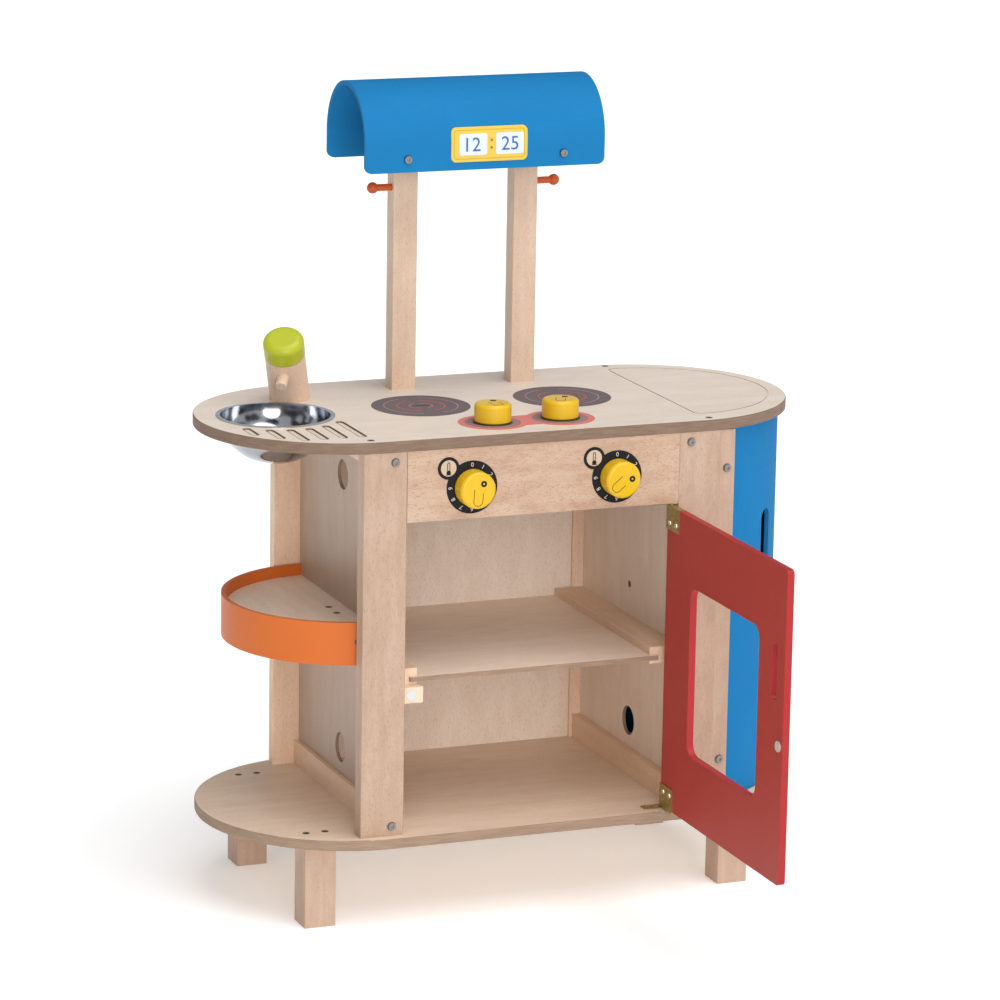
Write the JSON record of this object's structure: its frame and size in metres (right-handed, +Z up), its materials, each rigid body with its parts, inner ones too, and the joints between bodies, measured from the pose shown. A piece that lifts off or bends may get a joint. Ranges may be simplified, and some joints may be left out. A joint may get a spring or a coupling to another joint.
{
  "type": "play kitchen",
  "caption": "Free-standing wooden play kitchen with a sink, hob, oven with a swinging door, curved fridge door, open side shelf and a hood on posts.",
  "frame": {"origin": "on the floor under the middle of the cabinet", "axes": "+Z up, -Y the front with the oven, +X the end with the curved fridge door"},
  "size_m": [0.6898, 0.633, 0.902],
  "materials": {
    "solid_beech": "clear satin lacquer on solid wood",
    "worktop_veneer": "pale veneer with a clear satin lacquer",
    "base_veneer": "veneer with a clear satin lacquer",
    "panel_veneer": "veneer with a clear satin lacquer",
    "blue_lacquer": "blue satin lacquer on plywood",
    "red_lacquer": "red satin lacquer on plywood",
    "orange_lacquer": "orange satin lacquer on wood",
    "yellow_lacquer": "yellow gloss lacquer on wood",
    "lime_lacquer": "lime gloss lacquer on wood",
    "bowl_steel": "polished steel",
    "hinge_brass": "plain brass",
    "screw_steel": "nickel plated",
    "dark_screw": "dark plated",
    "dial_print": "printed film",
    "hob_print": "printed film",
    "zone_print": "printed film",
    "washer_dark": "moulded",
    "clock_print": "yellow plate with printed figures",
    "magnet_white": "nickel plated magnet"
  },
  "bodies": {
    "root": {"base_board": "base_veneer", "foot_front_left": "solid_beech", "foot_back_left": "solid_beech", "foot_front_right": "solid_beech", "foot_back_right": "solid_beech", "wood_screws": "dark_screw", "front_post_left": "solid_beech", "back_stile_left": "solid_beech", "side_panel_left": "panel_veneer", "front_post_right": "solid_beech", "back_stile_right": "solid_beech", "side_panel_right": "panel_veneer", "side_rails": "solid_beech", "frame_screws": "screw_steel", "back_panel": "panel_veneer", "control_panel": "panel_veneer", "shelf_runners": "solid_beech", "middle_shelf": "panel_veneer", "worktop": "worktop_veneer", "hob_prints": "hob_print", "knob_zone_print": "zone_print", "knob_washers": "washer_dark", "dial_prints": "dial_print", "knob_pins": "screw_steel", "sink_bowl": "bowl_steel", "tap_body": "solid_beech", "tap_spout": "solid_beech", "tap_pin": "screw_steel", "hood_post_left": "solid_beech", "hood_post_right": "solid_beech", "hook_pegs": "orange_lacquer", "hood_shell": "blue_lacquer", "hood_arms": "solid_beech", "hood_screws": "screw_steel", "clock_plate": "clock_print", "hinge_plates": "hinge_brass", "plate_screws": "hinge_brass", "catch_block": "solid_beech", "catch_magnet": "magnet_white", "side_shelf": "panel_veneer", "fridge_shelf": "panel_veneer", "shelf_cleats": "solid_beech", "shelf_screws": "dark_screw", "rail_band": "orange_lacquer", "band_screws": "dark_screw"},
    "oven_door": {"oven_door": "red_lacquer", "door_hinge_leaves": "hinge_brass", "leaf_screws": "hinge_brass", "door_striker": "screw_steel"},
    "fridge_door": {"fridge_door": "blue_lacquer", "fridge_front_strip": "solid_beech", "fridge_back_strip": "solid_beech", "fridge_pins": "screw_steel", "strip_screws": "screw_steel"},
    "knob_oven_left": {"knob_oven_left": "yellow_lacquer"},
    "knob_oven_right": {"knob_oven_right": "yellow_lacquer"},
    "knob_hob_left": {"knob_hob_left": "yellow_lacquer"},
    "knob_hob_right": {"knob_hob_right": "yellow_lacquer"},
    "tap_cap": {"tap_cap": "lime_lacquer"}
  },
  "joints": [
    {"name": "oven_door_swing", "type": "hinge", "parent": "root", "child": "oven_door", "pos_m": [0.154, -0.153, 0.28], "axis": [0, 0, 1], "range_deg": [-90, 18]},
    {"name": "fridge_door_swing", "type": "hinge", "parent": "root", "child": "fridge_door", "pos_m": [0.217, 0.146, 0.32], "axis": [0, 0, 1], "range_deg": [0, 90]},
    {"name": "oven_knob_left_turn", "type": "hinge", "parent": "root", "child": "knob_oven_left", "pos_m": [-0.0854, -0.157, 0.491], "axis": [0, -1, 0], "continuous": true},
    {"name": "oven_knob_right_turn", "type": "hinge", "parent": "root", "child": "knob_oven_right", "pos_m": [0.0854, -0.157, 0.491], "axis": [0, -1, 0], "continuous": true},
    {"name": "hob_knob_left_turn", "type": "hinge", "parent": "root", "child": "knob_hob_left", "pos_m": [-0.04, -0.1005, 0.548], "axis": [0, 0, 1], "continuous": true},
    {"name": "hob_knob_right_turn", "type": "hinge", "parent": "root", "child": "knob_hob_right", "pos_m": [0.04, -0.1005, 0.548], "axis": [0, 0, 1], "continuous": true},
    {"name": "tap_cap_turn", "type": "hinge", "parent": "root", "child": "tap_cap", "pos_m": [-0.2105, 0.0875, 0.548], "axis": [-0.2536, -0.4653, 0.848], "continuous": true}
  ]
}
